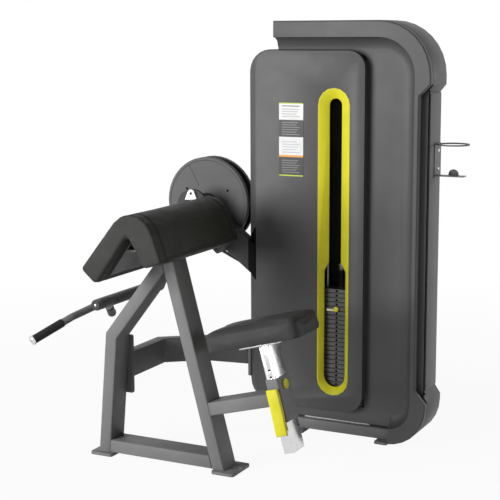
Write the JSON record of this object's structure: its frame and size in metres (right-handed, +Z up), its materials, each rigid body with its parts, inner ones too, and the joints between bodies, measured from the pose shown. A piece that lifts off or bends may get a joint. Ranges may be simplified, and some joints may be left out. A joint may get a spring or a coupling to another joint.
{
  "type": "biceps curl machine",
  "caption": "Biceps curl machine: A-frame with sloping arm pad and sliding seat, curl lever on a belt drum, and a covered weight-stack tower beside it.",
  "frame": {"origin": "centre of the machine's box, at floor level", "axes": "+X along the tower's width, away from the curl lever; +Y from the seat side towards the tower's back; +Z up"},
  "size_m": [1.2614, 0.9266, 1.5],
  "materials": {
    "frame_paint": "satin powder coat, dark grey",
    "plate_paint": "painted plates, dark grey",
    "cover_paint": "satin moulded cover, dark grey",
    "strip_paint": "satin, light grey",
    "yellow_paint": "satin yellow",
    "chrome": "bright",
    "steel": "plain",
    "bearing_casting": "bright painted casting",
    "rubber": "matte",
    "black_plastic": "matte",
    "pad_vinyl": "grained vinyl, black",
    "seat_vinyl": "grained vinyl, dark grey"
  },
  "bodies": {
    "frame": {"front_leg": "frame_paint", "rear_leg": "frame_paint", "low_beam": "frame_paint", "front_foot": "frame_paint", "rear_foot": "frame_paint", "seat_beam": "frame_paint", "seat_sleeve": "frame_paint", "sleeve_cap": "yellow_paint", "arm_pad": "pad_vinyl", "arm_pad_frame": "frame_paint", "link_beam": "frame_paint", "flange_bearing": "bearing_casting", "pivot_bracket": "frame_paint", "support_beam": "frame_paint", "beam_gland": "black_plastic", "front_cover": "cover_paint", "rear_cover": "cover_paint", "raised_panel": "cover_paint", "left_side_cover": "cover_paint", "side_strip_front": "cover_paint", "side_strip_rear": "strip_paint", "slot_ring": "yellow_paint", "cup_holder": "steel", "left_base_foot": "frame_paint", "right_base_foot": "frame_paint", "base_front_tube": "frame_paint", "base_rear_tube": "frame_paint", "left_upright": "frame_paint", "right_upright": "frame_paint", "top_beam": "frame_paint", "rod_bracket": "steel", "stack_base_plate": "steel", "stack_buffer_left": "rubber", "stack_buffer_right": "rubber", "guide_rod_left": "chrome", "guide_rod_right": "chrome", "resting_plates": "plate_paint", "belt_run": "rubber", "belt_drop": "rubber"},
    "lever": {"lever_arm": "frame_paint", "cross_tube": "frame_paint", "yoke_end_bush": "black_plastic", "pivot_shaft": "steel", "cam_drum": "black_plastic", "cam_front_disc": "frame_paint"},
    "handle": {"handle_yoke": "frame_paint", "grip_near": "rubber", "grip_far": "rubber", "grip_cap_near": "chrome", "grip_cap_far": "chrome"},
    "stack": {"lifted_plates": "plate_paint", "stem": "chrome"},
    "pin": {"selector_pin": "yellow_paint"},
    "seat": {"seat_post": "chrome", "seat_plate": "steel", "seat_pad": "seat_vinyl"},
    "lock": {"seat_lock_lever": "yellow_paint"},
    "low_pulley": {"pulley_low": "black_plastic"},
    "top_left_pulley": {"pulley_top_left": "black_plastic"},
    "top_right_pulley": {"pulley_top_right": "black_plastic"}
  },
  "joints": [
    {"name": "lever_curl", "type": "hinge", "parent": "frame", "child": "lever", "pos_m": [-0.3648, 0.28675, 0.8294], "axis": [0, 1, 0], "range_deg": [0, 125]},
    {"name": "handle_swivel", "type": "hinge", "parent": "lever", "child": "handle", "pos_m": [-0.4908, -0.19325, 0.532], "axis": [0, 1, 0], "range_deg": [0, 70]},
    {"name": "stack_lift", "type": "slide", "parent": "frame", "child": "stack", "axis": [0, 0, 1], "range_m": [0, 0.333], "deforming": ["belt_drop"]},
    {"name": "pin_pull", "type": "slide", "parent": "stack", "child": "pin", "axis": [0, -1, 0], "range_m": [0, 0.045]},
    {"name": "seat_slide", "type": "slide", "parent": "frame", "child": "seat", "axis": [-0.2588, 0, 0.9659], "range_m": [-0.07, 0.09]},
    {"name": "lock_release", "type": "hinge", "parent": "frame", "child": "lock", "pos_m": [0.19314, -0.24425, 0.30351], "axis": [-0.9659, 0, -0.2588], "range_deg": [0, 25]},
    {"name": "low_pulley_turn", "type": "hinge", "parent": "frame", "child": "low_pulley", "pos_m": [-0.0958, 0.38025, 0.5912], "axis": [0, 1, 0], "range_deg": [0, 402]},
    {"name": "top_left_pulley_turn", "type": "hinge", "parent": "frame", "child": "top_left_pulley", "pos_m": [-0.001, 0.38025, 1.355], "axis": [0, 1, 0], "range_deg": [-402, 0]},
    {"name": "top_right_pulley_turn", "type": "hinge", "parent": "frame", "child": "top_right_pulley", "pos_m": [0.1243, 0.38025, 1.355], "axis": [0, 1, 0], "range_deg": [-402, 0]}
  ],
  "couplings": [
    {"joint": "stack_lift", "follows": "lever_curl", "m_per_rad": 0.1524},
    {"joint": "low_pulley_turn", "follows": "lever_curl", "ratio": 3.2152},
    {"joint": "top_left_pulley_turn", "follows": "lever_curl", "ratio": -3.2152},
    {"joint": "top_right_pulley_turn", "follows": "lever_curl", "ratio": -3.2152}
  ]
}
